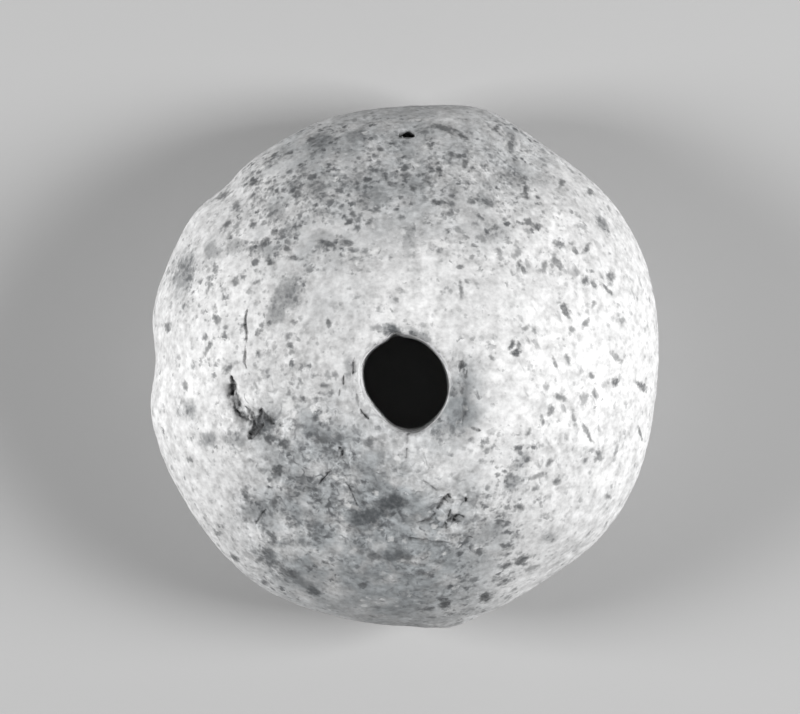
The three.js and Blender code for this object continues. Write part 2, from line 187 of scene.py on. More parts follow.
# Single dark flecks, in the same way, from the left round the top to the right and the bottom
FLECKS = [
    (-20.6, 3.4, 0.45, 0.3, 80, 0.85),
    (-17.1, 1.6, 0.9, 0.2, 62, 0.76),
    (-19.1, -1.7, 0.6, 0.25, 85, 0.76),
    (-15.4, -0.2, 0.56, 0.34, 40, 0.85),
    (-14.6, 0.3, 0.5, 0.2, 10, 0.47),
    (-15.6, 3.4, 0.25, 0.22, 0, 0.76),
    (-11.8, 3.8, 0.3, 0.25, 20, 0.85),
    (-9.7, 3.8, 0.3, 0.25, 0, 0.76),
    (-10.1, 1.8, 0.3, 0.25, 40, 0.66),
    (-9.9, 1.2, 0.3, 0.25, 30, 0.66),
    (-10.1, -2.3, 0.3, 0.25, 60, 0.66),
    (-18.7, -8.1, 0.3, 0.3, 0, 0.76),
    (-14.8, 7.3, 0.4, 0.3, 100, 0.76),
    (-12.9, 7.3, 0.4, 0.2, 30, 0.76),
    (-11.7, 9.1, 0.5, 0.35, 120, 0.95),
    (-6.7, 3.8, 0.5, 0.25, 100, 0.85),
    (-15.5, 12.3, 0.6, 0.25, 40, 0.85),
    (-15.8, 14.8, 0.7, 0.25, 25, 0.85),
    (-14.7, 14, 0.6, 0.25, 45, 0.76),
    (-13.2, 15.9, 0.6, 0.3, 20, 0.95),
    (-12.2, 10.7, 0.6, 0.3, 50, 0.85),
    (-11.4, 11.6, 0.4, 0.3, 80, 0.76),
    (-9.7, 9.4, 0.7, 0.3, -10, 0.85),
    (-10.3, 10.2, 0.35, 0.3, 0, 0.85),
    (-6.7, 10.6, 0.9, 0.3, -10, 0.85),
    (-5, 10.7, 0.4, 0.3, 0, 0.85),
    (-9.4, 15, 0.4, 0.3, 0, 0.76),
    (-2.2, 18.8, 0.35, 0.25, 0, 0.85),
    (-4.6, 13.2, 0.35, 0.3, 0, 0.85),
    (-0.4, 12.9, 0.35, 0.25, 0, 0.76),
    (0.6, 15.4, 0.5, 0.25, 120, 0.76),
    (1.7, 16.2, 0.45, 0.25, 60, 0.76),
    (2.9, 17, 0.5, 0.3, 110, 0.76),
    (2.6, 14.2, 0.6, 0.25, 20, 0.66),
    (3.4, 20.6, 1.2, 0.3, -15, 0.85),
    (4.8, 20, 0.7, 0.25, -35, 0.85),
    (4.6, 18.2, 0.3, 0.25, 0, 0.85),
    (5.1, 17.5, 0.5, 0.25, 105, 0.77),
    (7.8, 20.6, 0.5, 0.25, 30, 0.85),
    (9.1, 19, 0.5, 0.25, 110, 0.77),
    (10.4, 15, 0.6, 0.25, 100, 0.85),
    (13.5, 15.9, 0.4, 0.3, 60, 0.77),
    (15.9, 15.1, 0.35, 0.3, 0, 0.85),
    (4.8, 6.6, 0.8, 0.2, 95, 0.8),
    (4.6, 11.8, 0.6, 0.25, -25, 0.6),
    (6.6, 11.1, 0.6, 0.35, -25, 0.6),
    (7.8, 12, 0.4, 0.3, 0, 0.77),
    (4.7, 8.6, 0.4, 0.2, 0, 0.76),
    (11.4, 12.1, 0.4, 0.3, 0, 0.77),
    (13.2, 10.6, 0.55, 0.3, 150, 0.77),
    (14.7, 10, 0.45, 0.22, 120, 0.85),
    (15.6, 10.1, 0.6, 0.24, 60, 0.85),
    (12, 8.7, 0.6, 0.25, 90, 0.68),
    (13.1, 9, 0.9, 0.35, 120, 0.77),
    (9.8, 8.8, 0.45, 0.22, 90, 0.85),
    (10.2, 8.3, 0.5, 0.24, 130, 0.85),
    (17.8, 7.8, 0.48, 0.36, 120, 0.82),
    (17.4, 6.7, 0.8, 0.18, 135, 0.85),
    (16.3, 7.1, 0.45, 0.26, 120, 0.8),
    (15.5, 7.4, 0.4, 0.26, 90, 0.78),
    (13.8, 4.9, 0.9, 0.32, 120, 0.88),
    (16.3, 5.4, 0.4, 0.2, 60, 0.68),
    (18.7, 4, 0.5, 0.25, 0, 0.59),
    (15.6, 3.7, 0.5, 0.3, 60, 0.77),
    (14.4, 3.1, 0.35, 0.3, 0, 0.68),
    (10.4, 3.3, 0.4, 0.25, 30, 0.68),
    (9.2, 1.8, 0.55, 0.25, 70, 0.95),
    (9.5, 1.2, 0.5, 0.3, 0, 1),
    (9.8, 1.8, 0.4, 0.22, 100, 0.85),
    (12.9, 0.3, 0.8, 0.16, 110, 0.77),
    (14, 0.7, 0.4, 0.25, 100, 0.77),
    (18.2, 0.8, 0.7, 0.3, 140, 0.68),
    (7.5, 0.7, 0.3, 0.25, 0, 0.68),
    (16.1, -0.8, 0.35, 0.25, 100, 0.77),
    (18.2, -1.3, 0.55, 0.35, 60, 0.9),
    (20.4, -1.7, 0.7, 0.3, 140, 0.9),
    (12.2, -1.8, 0.4, 0.25, 100, 0.68),
    (13.4, -2.7, 0.6, 0.3, 150, 0.77),
    (15.4, -2.9, 0.7, 0.4, 90, 0.59),
    (12.6, -3.8, 0.5, 0.35, 60, 0.77),
    (14.6, -4.6, 0.8, 0.2, 100, 0.68),
    (15.7, -5.7, 1, 0.2, 118, 0.77),
    (20.3, -5.8, 0.7, 0.12, 108, 0.85),
    (11.9, -4.9, 0.35, 0.2, 80, 0.77),
    (10.6, -5.8, 0.4, 0.25, 60, 0.77),
    (16.7, -7.8, 0.6, 0.4, 90, 0.76),
    (18.2, -7.4, 0.9, 0.18, 75, 0.68),
    (12.4, -8.4, 0.5, 0.22, 50, 0.77),
    (11.4, -9.5, 0.8, 0.25, 25, 0.68),
    (13.1, -10, 0.4, 0.3, 0, 0.77),
    (6.6, -8.2, 0.35, 0.25, 0, 0.68),
    (17.5, -11.3, 0.3, 0.25, 0, 0.77),
    (9.9, -12.2, 0.4, 0.3, 0, 0.77),
    (8.1, -13.5, 0.6, 0.3, 40, 0.5),
    (8.5, -15.6, 0.45, 0.2, -25, 0.85),
    (8.6, -17.3, 0.7, 0.28, 15, 0.9),
    (10, -16.8, 0.7, 0.35, 40, 0.9),
    (10.9, -17.5, 0.7, 0.25, 20, 0.59),
    (6.9, -20, 0.6, 0.45, 20, 1),
    (5.8, -18.5, 0.7, 0.2, 15, 0.68),
    (8.4, -18.8, 0.6, 0.25, 20, 0.68),
    (3.4, -20.6, 0.6, 0.4, 30, 1),
    (2, -21, 0.6, 0.22, 10, 0.85),
    (-3.7, -19, 0.4, 0.3, 0, 0.85),
    (-11.1, -9, 0.6, 0.54, 0, 1),
    (-11.8, -6.3, 0.54, 0.48, 0, 1),
    (-10.6, -6.7, 0.54, 0.46, 0, 1),
    (-12.4, -9, 0.4, 0.3, 0, 0.5),
    (-9.2, -5.2, 0.4, 0.3, 20, 0.7),
    (-8, -4.5, 0.35, 0.3, 0, 0.6),
    (-7.2, -6.4, 0.6, 0.35, 0, 0.8),
    (-3.1, -6.7, 0.6, 0.4, 0, 0.5),
    (-2, -7.7, 0.5, 0.4, 0, 0.45),
    (-10.1, -11.2, 0.7, 0.3, 90, 0.7),
    (-12.6, -16.7, 0.5, 0.3, 30, 0.85),
    (-10.9, -17.2, 0.6, 0.3, -30, 0.7),
    (-10, -17.9, 0.6, 0.3, -30, 0.7),
    (-11.3, -11.7, 0.6, 0.35, 90, 0.76),
    (-13.8, -11.3, 0.8, 0.3, 110, 0.85),
    (-11.5, -14.9, 0.5, 0.3, 100, 0.85),
    (-16.2, -14.5, 0.35, 0.25, 0, 0.76),
    (-14.8, -16.6, 0.6, 0.22, -40, 0.85),
    (-12.3, -18.7, 0.3, 0.2, -30, 0.85),
]

# Single pale flecks and painted highlights, in the same way
PALE_FLECKS_AND_HIGHLIGHTS = [
    (-18.7, -2.1, 1, 0.35, 90, 1),
    (-10.2, -3.4, 0.6, 0.5, 60, 0.5),
    (-7.3, 0.5, 0.25, 0.2, 0, 0.8),
    (-7, -4.4, 0.5, 0.35, 20, 0.5),
    (-10, -16, 1.4, 0.6, 0, 0.5),
    (-5.6, -15.8, 0.35, 0.25, 0, 0.35),
    (-4.6, -16.1, 0.4, 0.25, 30, 0.35),
    (-4.6, -12.2, 0.7, 0.2, -20, 0.4),
    (-2.3, -15.6, 0.8, 0.4, 10, 0.35),
    (4.3, -12.5, 0.3, 0.2, 40, 0.4),
    (5.5, -12.8, 0.4, 0.2, 0, 0.35),
    (3.1, -13.1, 0.35, 0.2, 30, 0.35),
    (3.1, 10.6, 1, 0.25, -10, 0.7),
    (-2.7, 10, 0.4, 0.22, 20, 0.9),
    (-4.2, 8.9, 0.25, 0.2, 0, 0.9),
    (-4.6, 20.7, 0.4, 0.25, 10, 0.6),
    (8.7, 19.4, 0.6, 0.16, 60, 0.5),
    (13.9, 16.6, 0.8, 0.2, -50, 0.7),
    (16.1, -6.4, 0.6, 0.4, 100, 0.6),
    (17, -9.7, 0.9, 0.6, 20, 0.6),
]

# How many half widths from its middle a stain or painted shadow, or a pale fleck or painted highlight,
# fades out, and a dark fleck
STAIN_REACH = 2.0
FLECK_REACH = 1.72

# Broad places of the domed face: x, y, reach and strength
CROWDED_PLACES = [
    (-12.0, 14.5, 6.0, 0.55),
    (-9.5, 18.0, 5.0, 0.6),
    (-7.5, 16.5, 7.0, 0.7),
    (-2.0, 17.0, 6.5, 0.85),
    (-11.5, 10.5, 4.5, 0.8),
    (-9.0, 9.5, 3.5, 0.8),
    (-5.5, 11.5, 5.0, 0.6),
    (3.5, 16.0, 7.0, 0.5),
    (8.5, 14.5, 6.5, 0.25),
    (5.5, 11.5, 4.5, 0.35),
    (10.0, 19.0, 5.0, 0.5),
    (13.0, 10.0, 5.0, 0.2),
    (9.0, -9.0, 5.0, 0.5),
    (8.0, -15.0, 6.5, 0.48),
    (4.0, -19.5, 6.0, 0.5),
    (-8.0, -6.5, 5.0, 0.8),
    (-11.0, -11.0, 6.0, 0.48),
    (-7.0, -10.0, 6.5, 0.55),
    (-5.0, -13.5, 7.0, 0.5),
    (-10.0, -17.0, 5.0, 0.6),
    (-18.0, 7.5, 4.5, 0.5),
    (-15.0, 4.5, 4.5, 0.25),
    (-17.0, 0.5, 5.0, 0.15),
    (-11.0, 0.5, 5.0, 0.25),
    (-7.0, -2.5, 4.5, 0.3),
]
LONG_FLECK_PLACES = [
    (15.0, 3.0, 12.0, 0.8),
    (14.0, -8.0, 9.0, 0.7),
    (13.0, 12.0, 7.0, 0.6),
]
# Dusky places: partly the stone's own darker tone, partly painted shade on the slopes at the top and the
# bottom, on the lower left facet and round the hole
DARK_TONE_AND_SHADE_PLACES = [
    (-8.0, -9.5, 8.0, 0.6),
    (-11.4, -5.3, 4.0, 0.65),
    (-6.5, -5.5, 5.0, 0.55),
    (-3.0, -7.5, 3.5, 0.25),
    (-1.8, -12.4, 6.6, 1.05),
    (-10.5, -13.5, 7.0, 0.65),
    (-3.5, -19.0, 8.0, 0.85),
    (2.2, -17.0, 8.5, 1.1),
    (5.0, -12.2, 4.5, 0.32),
    (5.9, -9.9, 2.8, 0.3),
    (-0.4, -10.4, 2.6, 0.3),
    (1.5, -16.6, 2.6, 0.3),
    (7.4, -15.4, 2.8, 0.3),
    (-9.0, -17.5, 6.0, 0.6),
    (0.0, 19.0, 10.0, 0.65),
    (-8.0, 18.5, 6.0, 0.5),
    (-4.0, 12.5, 5.0, 0.2),
    (9.0, 18.0, 7.0, 0.35),
    (5.2, -1.8, 2.4, 0.6),
    (5.5, 0.5, 3.0, 0.3),
    (4.8, -3.7, 3.6, 1.0),
    (3.2, -5.8, 3.4, 0.9),
    (-1.5, -6.5, 5.0, 0.35),
    (-4.8, -2.5, 2.4, 0.2),
    (-9.0, -4.2, 2.6, 0.35),
    (0.5, 12.5, 6.0, 0.25),
    (-7.2, 11.3, 4.5, 0.35),
    (-6.0, 5.5, 4.5, 0.3),
    (7.0, 12.0, 3.5, 0.15),
]
COARSE_PLACES = [
    (-8.0, -9.0, 10.0, 0.9),
    (-2.0, -14.0, 9.0, 0.7),
    (-11.0, -16.0, 6.0, 0.5),
    (4.5, -12.5, 5.0, 0.8),
    (-13.5, -4.0, 5.0, 0.7),
    (0.0, 17.0, 10.0, 0.45),
    (8.0, 17.5, 7.5, 0.5),
    (-10.0, 2.0, 6.0, 0.3),
    (0.0, -2.0, 8.0, 0.35),
    (2.0, -17.5, 7.0, 0.5),
    (2.0, -8.5, 3.5, 0.4),
]
# Pale places: partly the stone's own paler tone, partly painted light on the right side, on the crest above
# the hole and left of the crack
PALE_TONE_AND_LIGHT_PLACES = [
    (14.0, 1.0, 12.5, 1.0),
    (11.0, 11.5, 6.0, 0.85),
    (9.5, -8.5, 6.0, 0.5),
    (11.5, -12.5, 4.5, 0.3),
    (3.8, 9.0, 5.0, 0.35),
    (-1.0, 5.0, 7.0, 0.6),
    (-15.0, 4.5, 6.5, 0.9),
    (-13.2, 10.5, 3.8, 0.55),
    (-10.2, 15.6, 2.8, 0.7),
    (2.6, -12.0, 2.4, 0.6),
    (-19.0, -2.0, 8.0, 0.45),
]

# How crowded specks are all over the dome, and on the sides that the eye above doesn't see
SPECKS_ON_DOME = 0.12
SPECKS_ON_HIDDEN_SIDES = 0.32

# Linear colours of the stone, of the painted light and shade on it, and of the dirt and painted shade in
# its cuts
# The pale stone is also painted light, and the dusky stone also painted shade
PALE_STONE_AND_LIGHT = (0.87, 0.87, 0.87, 1.0)
MEAN_STONE = (0.702, 0.702, 0.703, 1.0)
DARK_STONE_AND_SHADE = (0.328, 0.345, 0.356, 1.0)
# Grey of the stains and of the painted shadows among them
STAIN_AND_SHADOW_GREY = (0.079, 0.086, 0.092, 1.0)
FLECK_GREY = (0.096, 0.1, 0.104, 1.0)
SPECK_GREY = (0.105, 0.11, 0.116, 1.0)
# Dirt and painted shade in the cuts
CUT_DIRT_AND_SHADE = (0.035, 0.035, 0.036, 1.0)
# White of the painted glints, and of the pale flecks and painted highlights
GLINT_WHITE = (0.95, 0.95, 0.945, 1.0)

# Sockets of a Mix node for colours: the share, the colour under, the colour over, and the outcome
MIX_SHARE, MIX_UNDER, MIX_OVER, MIXED = 0, 6, 7, 2

# Clouds of the ground: a noise's lumps to the millimetre and detail, and its values for none and all
NOISE_MIDDLE = 0.5
CLOUDS = (0.45, 4.0)
DARK_AND_SHADE_RISE = (0.2, 0.6)
HAZE_RISE = (0.4, 0.7)
HAZE = 0.4  # how much a crowd of specks greys the stone round them

# Mottling of the ground: a noise's lumps to the millimetre and detail, and how strong it is
MOTTLING = [
    (0.35, 3.0, 0.45),
    (0.9, 3.0, 1.0),
    (2.2, 3.0, 0.8),
]
COARSE_CONTRAST = 1.8  # how many times as strong in coarse places

# Pale veins of the coarse places: a net of lines, bent and broken up
VEINS_PER_MM = 0.8
VEIN_WIDTH = 0.12
VEIN_LIGHT = 0.4
VEIN_BEND = 1.2
VEIN_BENDS = (0.9, 2.0)
VEIN_BREAKS = (0.5, 2.0)
VEIN_BREAK_RISE = (0.42, 0.62)

# Dark winding threads of the coarse places, broken up too
THREADS = (0.8, 1.5)
THREAD_WIDTH = 0.08
THREAD_DARK = 0.85
THREAD_BREAKS = (1.1, 2.0)
THREAD_BREAK_RISE = (0.48, 0.62)

# Specks: sizes in shares of a cell, how far and in how many lumps they wander out of round, and clumps
SPECK_RADIUS = (0.14, 0.52)
SPECK_SOFTNESS = 0.26
SPECK_WANDER = 1.1
SPECK_WANDER_LUMPS = 1.6
SPECK_WANDER_DETAIL = 2.0
SPECK_SHADE = (0.4, 1.0)  # of the faintest and of the darkest
CLUMPS = (0.5, 1.0)
CLUMP_RISE = (0.34, 0.6)

# Layers of specks: how many cells to the millimetre, and how strong
LARGE_SPECKS = (1.25, 0.95)
MEAN_SPECKS = (1.75, 0.95)
FINE_SPECKS = (2.6, 0.62)
LONG_FLECKS = (1.8, 0.8)
# The glints are painted highlights, pale specks of light
GLINTS = (1.7, 0.6)

# How crowded the layers are, and how faint specks get where they are sparse
MORE_FINE_SPECKS = 0.12
MORE_IN_STAINS_AND_SHADOWS = 0.5
LONG_FLECK_CROWD = 0.5
GLINT_CROWD = (0.08, 0.3)  # in even and in coarse places
FAINTNESS = (0.6, 1.0)
FAINTNESS_GAIN = 2.0

# The way that long flecks lie
FLECK_LEAN = 120.0
FLECK_STRETCH = (2.2, 1.0, 1.5)

# Spots: how soft and how torn their edges are, lumps of the tears to the millimetre, and colour
SPOTS = {
    # Pale flecks with painted highlights, stains with painted shadows, dark flecks, and the dirt and
    # painted shade of the cuts
    "pale_fleck_and_highlight": (0.3, 0.9, 2.4, GLINT_WHITE),
    "stain_and_shadow": (0.25, 1.0, 1.6, STAIN_AND_SHADOW_GREY),
    "fleck": (0.29, 1.15, 2.6, FLECK_GREY),
    "dirt_and_shade": (0.42, 0.4, 4.0, CUT_DIRT_AND_SHADE),
}
SPOT_EDGE = 0.5  # the share of a place at which its spot ends, but for the tears
SPOT_FADE = (0.02, 0.25)  # the shares between which even the tears fade out
TEAR_DETAIL = 3.0
SPOT_PATCHES = (3.5, 2.0)
SPOT_PATCH_RISE = (0.3, 0.6)
SPOT_SHADE = (0.8, 1.0)

# Skin of the stone
ROUGHNESS = (0.62, 0.88)
SPECULAR = 0.35
BUMPS = (1.4, 4.0)
BUMP_HEIGHT = 0.2
BUMP_STRENGTH = (0.4, 1.0)  # in even and in coarse places

# Studio: each lamp's angle round the stone, its angle over the floor, and its watts
LAMP_DISTANCE = 420.0
LAMP_SIZE = 150.0
LAMPS = {
    "right_lamp": (0.0, 34.0, 1.86),
    "left_lamp": (180.0, 30.0, 1.58),
}
SKY_GREY = (0.8, 0.8, 0.8, 1.0)
SKY_STRENGTH = 0.08
FLOOR_SIZE = 4000.0
FLOOR_PALE = (0.5, 0.5, 0.5, 1.0)
FLOOR_ROUGHNESS = 0.9


def select_only(piece):
    bpy.ops.object.select_all(action="DESELECT")
    piece.select_set(True)
    bpy.context.view_layer.objects.active = piece


def edit_whole(piece):
    """Opens a piece in edit mode with all of its mesh selected."""
    select_only(piece)
    bpy.ops.object.mode_set(mode="EDIT")
    bpy.ops.mesh.select_all(action="SELECT")


def apply_modifier(piece, kind, **settings):
    select_only(piece)
    modifier = piece.modifiers.new(kind.lower(), kind)
    for name, value in settings.items():
        setattr(modifier, name, value)
    bpy.ops.object.modifier_apply(modifier=modifier.name)


def resize(piece, factor):
    """Scales a piece's mesh about the origin."""
    edit_whole(piece)
    bpy.ops.transform.resize(value=(factor, factor, factor), center_override=(0, 0, 0))
    bpy.ops.object.mode_set(mode="OBJECT")


def values_of(piece, name):
    """The place or the normal of each vertex of a piece, as an array of three columns."""
    values = np.empty(len(piece.data.vertices) * 3, np.float32)
    piece.data.vertices.foreach_get(name, values)
    return values.reshape(-1, 3).astype(float)


def smooth_step(values):
    clipped = np.clip(values, 0, 1)
    return clipped * clipped * (3 - 2 * clipped)


def seen_from_above(points):
    """Where the eye above sees each point, on the plane of the girth."""
    spread = EYE_RISE / (EYE_RISE + GIRTH_HEIGHT - points[:, 2:])
    return EYE_PLACE + (points[:, :2] - EYE_PLACE) * spread


def upward_share(piece):
    """1 where a piece faces the eye above, and 0 where it faces sideways or down."""
    return smooth_step(values_of(piece, "normal")[:, 2] / UPWARD_FADE)


def ragged(points, grain):
    """Noise from -1 to 1 at each point, in lumps of a grain's size."""
    return np.array([noise.noise(Vector(point) / grain) for point in points])


def along_path(path, places):
    """How far each place is from a path, and at which share of its length it is nearest."""
    nearest = np.full(len(places), np.inf)
    share_along = np.zeros(len(places))
    lengths = [math.dist(start, end) for start, end in zip(path, path[1:])]
    gone = 0.0
    for start, end, length in zip(path, path[1:], lengths):
        along = np.subtract(end, start)
        share = np.clip((places - start) @ along / (along @ along), 0, 1)
        off = places - start - share[:, None] * along
        far = np.hypot(off[:, 0], off[:, 1])
        share_along = np.where(far < nearest, (gone + share * length) / sum(lengths), share_along)
        nearest = np.minimum(nearest, far)
        gone += length
    return nearest, share_along


def oval_share(places, full_reach, x, y, half_length, half_width, tilt):
    """1 in the middle of an oval place, about half at its edge, and 0 from its full reach on."""
    turn = math.radians(tilt)
    off = places - (x, y)
    along = off @ (math.cos(turn), math.sin(turn))
    across = off @ (-math.sin(turn), math.cos(turn))
    reach = np.hypot(along / half_length, across / half_width)
    return np.clip(1 - reach / full_reach, 0, 1)


def broad_share(places, spots):
    """The sum of broad soft places, from 0 up."""
    total = np.zeros(len(places))
    for x, y, reach, strength in spots:
        far = np.hypot(places[:, 0] - x, places[:, 1] - y)
        total += strength * smooth_step(1 - far / reach)
    return total


def weight_group(piece, name, weights):
    group = piece.vertex_groups.new(name=name)
    for index in np.flatnonzero(weights):
        group.add([int(index)], float(weights[index]), "REPLACE")


def keep_values(piece, name, values):
    """Stores one value a vertex, which the stone's material reads by its name."""
    attribute = piece.data.attributes.new(name, "FLOAT", "POINT")
    attribute.data.foreach_set("value", values.astype(np.float32))


def stone_blank():
    """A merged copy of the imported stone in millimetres, on an even grid, with its facets rounded off."""
    stone = bpy.data.objects.new("whorl_stone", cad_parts["whorl"].data.copy())
    bpy.context.scene.collection.objects.link(stone)
    edit_whole(stone)
    bpy.ops.mesh.remove_doubles(threshold=MERGE_DISTANCE)
    bpy.ops.mesh.tris_convert_to_quads()
    bpy.ops.object.mode_set(mode="OBJECT")
    resize(stone, 1 / MM)
    apply_modifier(stone, "SUBSURF", levels=FACET_ROUNDING, render_levels=FACET_ROUNDING)
    apply_modifier(stone, "REMESH", mode="VOXEL", voxel_size=GRID)
    apply_modifier(stone, "SMOOTH", factor=ROUNDING_PULL, iterations=ROUNDING_TURNS)
    return stone


def near_cuts(places):
    """Which places are so near a cut with dirt and painted shade that the mesh has to be finer there."""
    near = np.zeros(len(places), bool)
    for path, width, _, dark in CUTS.values():
        if dark:
            near |= along_path(path, places)[0] < width / 2 + FINE_MARGIN
    return near


def near_flecks(places):
    """Which places are in or close round a single dark fleck, and not at a cut."""
    shares = [oval_share(places, FLECK_REACH, *oval) for *oval, _ in FLECKS]
    return (np.max(shares, axis=0) > 0) & ~near_cuts(places)


def refine(stone, is_near, fineness):
    """Makes the grid finer, and rounds its steps, wherever a cut or a fleck comes on the domed face."""
    points = values_of(stone, "co")
    faces_up = values_of(stone, "normal")[:, 2] > FINE_UPWARD
    chosen = is_near(seen_from_above(points)) & faces_up & (points[:, 2] > GIRTH_HEIGHT)
    weight_group(stone, "fine", chosen)
    select_only(stone)
    bpy.ops.object.mode_set(mode="EDIT")
    bpy.ops.mesh.select_mode(type="VERT")
    bpy.ops.mesh.select_all(action="DESELECT")
    bpy.ops.object.mode_set(mode="OBJECT")
    stone.data.vertices.foreach_set("select", chosen)
    bpy.ops.object.mode_set(mode="EDIT")
    bpy.ops.mesh.subdivide(number_cuts=fineness, ngon=False)
    bpy.ops.object.mode_set(mode="OBJECT")
    apply_modifier(
        stone, "SMOOTH", factor=ROUNDING_PULL, iterations=FINE_ROUNDING_TURNS, vertex_group="fine",
    )
    stone.vertex_groups.clear()


def grind(stone):
    """Gives the stone the unevenness of hand grinding: more in coarse places, little on the underside."""
    points = values_of(stone, "co")
    coarse = broad_share(seen_from_above(points), COARSE_PLACES)
    share = np.clip(EVEN_SHARE + coarse * (1 - EVEN_SHARE), 0, 1)
    weight_group(stone, "ground", np.where(points[:, 2] > UNDERSIDE_HEIGHT, share, UNDERSIDE_SHARE))
    for name, lump, height in GRINDING:
        texture = bpy.data.textures.new(name, "CLOUDS")
        texture.noise_scale = lump
        texture.noise_depth = GRINDING_DETAIL
        apply_modifier(
            stone, "DISPLACE", texture=texture, strength=height, mid_level=NOISE_MIDDLE,
            texture_coords="LOCAL", vertex_group="ground",
        )


def cut_shares(places, rough):
    """How deep each place lies in the cuts, how near it is to their dirt and painted shade, and how dark
    these are.
    """
    depths = np.zeros(len(places))
    nearness = np.zeros(len(places))
    darkness = np.zeros(len(places))
    for path, width, depth, dark in CUTS.values():
        far, share = along_path(path, places)
        swell = CUT_SLENDER + (1 - CUT_SLENDER) * np.sqrt(np.sin(math.pi * share).clip(0, 1))
        reach = far / (width * swell) + CUT_RAGGED * rough
        depths = np.maximum(depths, depth * smooth_step(CUT_STEEPNESS * (1 - 2 * reach)))
        near = np.clip(1 - reach, 0, 1) if dark else 0.0
        darkness = np.where(near > nearness, dark, darkness)
        nearness = np.maximum(nearness, near)
    return depths, nearness, darkness


def sink_cuts(stone):
    """Sinks the gash, the cracks, the pits and the drill marks into the domed face."""
    points = values_of(stone, "co")
    upward = upward_share(stone)
    depths, nearness, darkness = cut_shares(seen_from_above(points), ragged(points, CUT_GRAIN))
    weight_group(stone, "sunk", np.clip(depths * upward, 0, 1))
    apply_modifier(stone, "DISPLACE", strength=-1.0, mid_level=0.0, vertex_group="sunk")
    # Dirt and painted shade in the cuts, and how dark each cut's is
    keep_values(stone, "dirt_and_shade", nearness * upward)
    keep_values(stone, "dirt_and_shade_shade", darkness)


def mark_colours(stone):
    """Stores where the stone is stained, flecked, crowded with specks, dusky, pale or coarse, and where
    light, shade, shadows and highlights are painted.
    """
    places = seen_from_above(values_of(stone, "co"))
    upward = upward_share(stone)
    for name, ovals, reach in (
        ("stain_and_shadow", STAINS_AND_SHADOWS, STAIN_REACH),
        ("fleck", FLECKS, FLECK_REACH),
        ("pale_fleck_and_highlight", PALE_FLECKS_AND_HIGHLIGHTS, STAIN_REACH),
    ):
        shares = np.array([oval_share(places, reach, *oval) for *oval, _ in ovals])
        shades = np.array([shade for *_, shade in ovals])
        keep_values(stone, name, shares.max(axis=0) * upward)
        keep_values(stone, name + "_shade", shades[shares.argmax(axis=0)])
    on_dome = SPECKS_ON_DOME + broad_share(places, CROWDED_PLACES)
    keep_values(stone, "crowd", on_dome * upward + SPECKS_ON_HIDDEN_SIDES * (1 - upward))
    # The dusky places are partly painted shade, and the pale places partly painted light
    for name, spots in (
        ("long_flecks", LONG_FLECK_PLACES),
        ("dark_tone_and_shade", DARK_TONE_AND_SHADE_PLACES),
        ("pale", PALE_TONE_AND_LIGHT_PLACES),
        ("coarse", COARSE_PLACES),
    ):
        keep_values(stone, name, broad_share(places, spots) * upward)


def add_node(tree, kind, inputs=None, **settings):
    """A node with its settings, its inputs linked to a socket or set to a value."""
    node = tree.nodes.new(kind)
    for name, value in settings.items():
        setattr(node, name, value)
    for name, value in (inputs or {}).items():
        if isinstance(value, bpy.types.NodeSocket):
            tree.links.new(value, node.inputs[name])
        else:
            node.inputs[name].default_value = value
    return node


def calculate(tree, operation, first, second):
    return add_node(tree, "ShaderNodeMath", {0: first, 1: second}, operation=operation).outputs[0]


def calculate_vector(tree, operation, first, second):
    """The same for two vectors or, to scale one, a vector and a number."""
    inputs = {0: first, "Scale" if operation == "SCALE" else 1: second}
    return add_node(tree, "ShaderNodeVectorMath", inputs, operation=operation).outputs[0]


def blend_colours(tree, share, under, over):
    """One colour over another by a share from 0 to 1."""
    inputs = {MIX_SHARE: share, MIX_UNDER: under, MIX_OVER: over}
    return add_node(tree, "ShaderNodeMix", inputs, data_type="RGBA", clamp_factor=True).outputs[MIXED]


def stretch(tree, value, low, high):
    """A value brought from between low and high to between 0 and 1, smoothly."""
    inputs = {"Value": value, "From Min": low, "From Max": high}
    return add_node(tree, "ShaderNodeMapRange", inputs, interpolation_type="SMOOTHSTEP").outputs[0]


def ranged(tree, value, low, high):
    """A value from 0 to 1 brought to between low and high."""
    inputs = {"Value": value, "To Min": low, "To Max": high}
    return add_node(tree, "ShaderNodeMapRange", inputs).outputs[0]


def stored(tree, name):
    return add_node(tree, "ShaderNodeAttribute", attribute_name=name).outputs["Fac"]


def noise_of(tree, vector, per_mm, detail, socket=0):
    """A noise's value or, from its socket Color, a value of its own along each axis."""
    inputs = {"Vector": vector, "Scale": per_mm, "Detail": detail}
    return add_node(tree, "ShaderNodeTexNoise", inputs).outputs[socket]


def swing_of(tree, vector, per_mm, detail):
    """A noise that goes as far under 0 as over it."""
    return calculate(tree, "SUBTRACT", noise_of(tree, vector, per_mm, detail), NOISE_MIDDLE)


def patches(tree, vector, lumps, rise):
    """Soft patches where a noise is high, 0 between them."""
    return stretch(tree, noise_of(tree, vector, *lumps), *rise)


def new_group(name, *numbers):
    """An empty node group that takes a place and some numbers and gives a mask, and its two ends."""
    group = bpy.data.node_groups.new(name, "ShaderNodeTree")
    group.interface.new_socket("Place", in_out="INPUT", socket_type="NodeSocketVector")
    for number in numbers:
        group.interface.new_socket(number, in_out="INPUT", socket_type="NodeSocketFloat")
    group.interface.new_socket("Mask", in_out="OUTPUT", socket_type="NodeSocketFloat")
    return group, group.nodes.new("NodeGroupInput").outputs, group.nodes.new("NodeGroupOutput").inputs


def use_group(tree, group, **inputs):
    named = {name.replace("_", " "): value for name, value in inputs.items()}
    return add_node(tree, "ShaderNodeGroup", named, node_tree=group).outputs[0]


